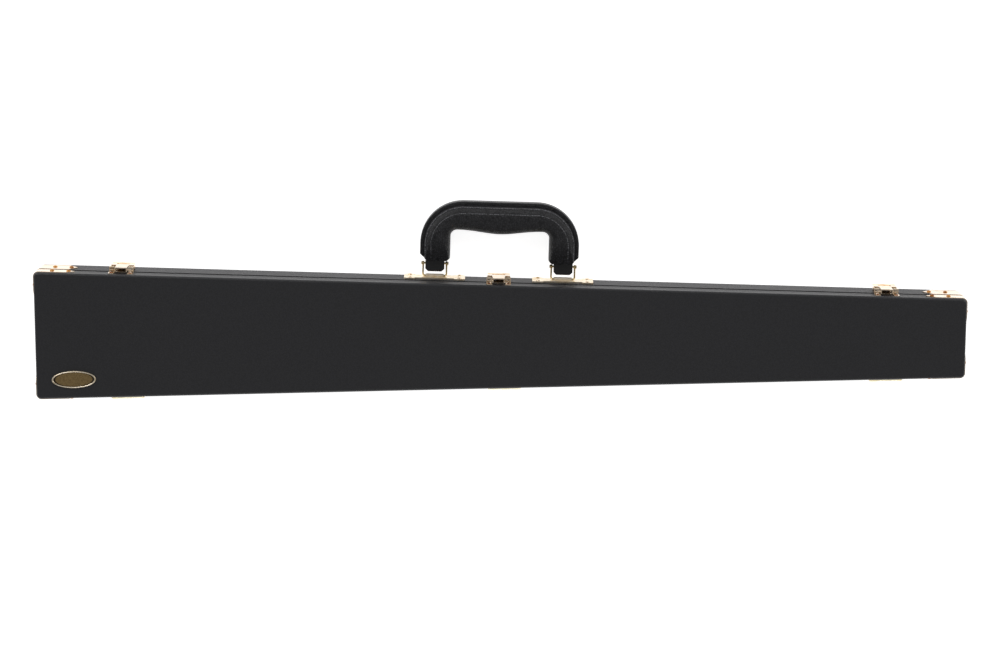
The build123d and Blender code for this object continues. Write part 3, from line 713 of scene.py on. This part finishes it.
# A flat pad under velvet: card at the back, wadding that crowns the front and rolls over at the edges
def padMesh(name, back, front):
    inset = caseShape["liningInset"]
    halfLength = caseShape["length"] / 2 - inset
    columns = round(2 * halfLength / pads["cell"])
    rows = pads["rows"]
    bm = bmesh.new()

    def layer(height):
        grid = []
        for i in range(columns + 1):
            x = (2 * i / columns - 1) * halfLength
            line = []
            for j in range(rows + 1):
                y = (2 * j / rows - 1) * (halfWidth(x) - inset)
                line.append(bm.verts.new((x, y, height(x, y))))
            grid.append(line)
        return grid

    def crown(x, y):
        edge = min(halfLength - abs(x), halfWidth(x) - inset - abs(y))
        rolled = min(edge / pads["roll"], 1.0)
        return front - (front - back) * pads["rollDepth"] * (1 - sqrt(1 - (1 - rolled) ** 2))

    top = layer(crown)
    bottom = layer(lambda x, y: back)
    for i in range(columns):
        for j in range(rows):
            bm.faces.new((top[i][j], top[i + 1][j], top[i + 1][j + 1], top[i][j + 1]))
            bm.faces.new((bottom[i][j], bottom[i][j + 1], bottom[i + 1][j + 1], bottom[i + 1][j]))
    rim = [(i, 0) for i in range(columns)] + [(columns, j) for j in range(rows)]
    rim += [(i, rows) for i in range(columns, 0, -1)] + [(0, j) for j in range(rows, 0, -1)]
    for k, (i, j) in enumerate(rim):
        m, n = rim[(k + 1) % len(rim)]
        bm.faces.new((top[i][j], bottom[i][j], bottom[m][n], top[m][n]))
    bmesh.ops.recalc_face_normals(bm, faces=bm.faces)
    mesh = meshFrom(bm, name)
    pad = addObject(name, mesh)
    held = pad.vertex_groups.new(name="glued")
    held.add([v.index for v in mesh.vertices if abs(v.co.z - back) < pads["glued"]], 1.0, "REPLACE")
    return pad


# Cloth under a little pressure gives the velvet its slight swells; its travel is capped and then kept
def swellPad(pad):
    rest = [v.co.copy() for v in pad.data.vertices]
    cloth = pad.modifiers.new("wadding", "CLOTH")
    cloth.settings.vertex_group_mass = "glued"
    cloth.settings.use_pressure = True
    cloth.settings.uniform_pressure_force = pads["pressure"]
    cloth.settings.effector_weights.gravity = 0
    cloth.settings.tension_stiffness = pads["stiffness"]
    cloth.point_cache.frame_end = pads["frames"]
    for step in range(1, pads["frames"] + 1):
        bpy.context.scene.frame_set(step)
    evaluated = pad.evaluated_get(bpy.context.evaluated_depsgraph_get())
    moved = [v.co.copy() for v in evaluated.data.vertices]
    pad.modifiers.remove(cloth)
    bpy.context.scene.frame_set(1)
    for vertex, start, end in zip(pad.data.vertices, rest, moved):
        travel = end - start
        if travel.length > pads["mostRise"]:
            travel *= pads["mostRise"] / travel.length
        vertex.co = start + travel


def makePad(name, node, back, front, body):
    pad = padMesh(name, back, front)
    swellPad(pad)
    pad.data.shade_smooth()
    pad.data.materials.append(finishes["velvet"])
    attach(pad, body)
    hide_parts(node)


floorLow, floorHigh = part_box("base_floor_pad")
roofLow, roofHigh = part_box("lid_pad")
makePad("floor_pad_velvet", "base_floor_pad", floorLow.z, floorHigh.z - pads["mostRise"], "base")
makePad("lid_pad_velvet", "lid_pad", roofHigh.z, roofLow.z + pads["mostRise"], "lid")
print("pads made")


# Floor, light and camera

studio = {
    "floorColour": "#e9e9ea", "floorGlow": 0.85, "floorReach": 6.0, "floorCells": 8,
    "floorRoughness": 0.9, "fibres": (600.0, 2.0), "relief": (0.1, 0.02 * mm),
    "floorHeight": -0.3 * mm,  # a hair under the case, so that the two faces never coincide
    "worldColour": "#ffffff", "worldStrength": 0.30,
    "key": {"place": (-1.6, 2.0, 1.5), "size": 1.4, "power": 26},
    "fill": {"place": (1.9, 1.4, 1.4), "size": 1.4, "power": 18},
    "front": {"place": (0.0, -2.4, 1.2), "size": 1.8, "power": 14},
}


# White paper that glows where it is looked at, straight or in a mirror, and takes the light elsewhere
def makeFloor():
    bm = bmesh.new()
    cells = studio["floorCells"]
    bmesh.ops.create_grid(bm, x_segments=cells, y_segments=cells, size=studio["floorReach"],
                          matrix=Matrix.Translation((0, 0, studio["floorHeight"])))
    mesh = meshFrom(bm, "floor")
    floor = addObject("floor", mesh)
    material, tree, shader, place = newMaterial("paperSweepMatt")
    fibre = addNoise(tree, place, *studio["fibres"]).outputs["Fac"]
    path = addNode(tree, "ShaderNodeLightPath").outputs
    seen = addMath(tree, "MAXIMUM", path["Is Camera Ray"], path["Is Glossy Ray"])
    through = addMath(tree, "MAXIMUM", seen, path["Is Transmission Ray"])
    setShader(tree, shader, {
        "Emission Strength": addMath(tree, "MULTIPLY", through, studio["floorGlow"]),
        "Normal": addBump(tree, fibre, *studio["relief"]),
    }, {"Base Color": srgb(studio["floorColour"]), "Roughness": studio["floorRoughness"],
        "Specular IOR Level": 0.0, "Emission Color": srgb("#ffffff")})
    mesh.materials.append(material)


def makeWorld():
    world = bpy.data.worlds.new("studio")
    bpy.context.scene.world = world
    world.use_nodes = True
    tree = world.node_tree
    path = addNode(tree, "ShaderNodeLightPath")
    strength = addRange(tree, path.outputs["Is Camera Ray"], studio["worldStrength"], 1.0)
    setShader(tree, tree.nodes["Background"], {"Strength": strength}, {"Color": srgb(studio["worldColour"])})


def makeLamp(name):
    facts = studio[name]
    lamp = bpy.data.lights.new(name, "AREA")
    lamp.shape = "DISK"
    lamp.size = facts["size"]
    lamp.energy = facts["power"]
    holder = addObject(name, lamp)
    holder.location = facts["place"]
    holder.rotation_euler = (Vector((0, 0, 0)) - Vector(facts["place"])).to_track_quat("-Z", "Y").to_euler()


# The photograph looks almost straight down at the lid, leaning over from the handle side
photoCamera = {
    "target": (-0.4 * mm, 3.6 * mm, 44 * mm),
    "distance": 2552 * mm,
    "lean": radians(11.3),
    "roll": radians(0.16),
    "focalPixels": 2900, "imageWidth": 1000,
    "film": 36, "nearest": 0.01, "farthest": 50,
}


def makeCamera():
    facts = photoCamera
    lens = bpy.data.cameras.new("photo")
    lens.sensor_width = facts["film"]
    lens.lens = facts["film"] * facts["focalPixels"] / facts["imageWidth"]
    lens.clip_start = facts["nearest"]
    lens.clip_end = facts["farthest"]
    camera = addObject("photo", lens)
    back = Vector((0, sin(facts["lean"]), cos(facts["lean"])))
    right = Vector((1, 0, 0))
    up = back.cross(right)
    turned = Matrix((right, up, back)).transposed() @ Matrix.Rotation(facts["roll"], 3, "Z")
    camera.matrix_world = Matrix.Translation(Vector(facts["target"]) + back * facts["distance"]) @ turned.to_4x4()
    bpy.context.scene.camera = camera


makeFloor()
makeWorld()
for lampName in ("key", "fill", "front"):
    makeLamp(lampName)
makeCamera()
bpy.context.scene.view_settings.view_transform = "Standard"
print("floor, light and camera placed")
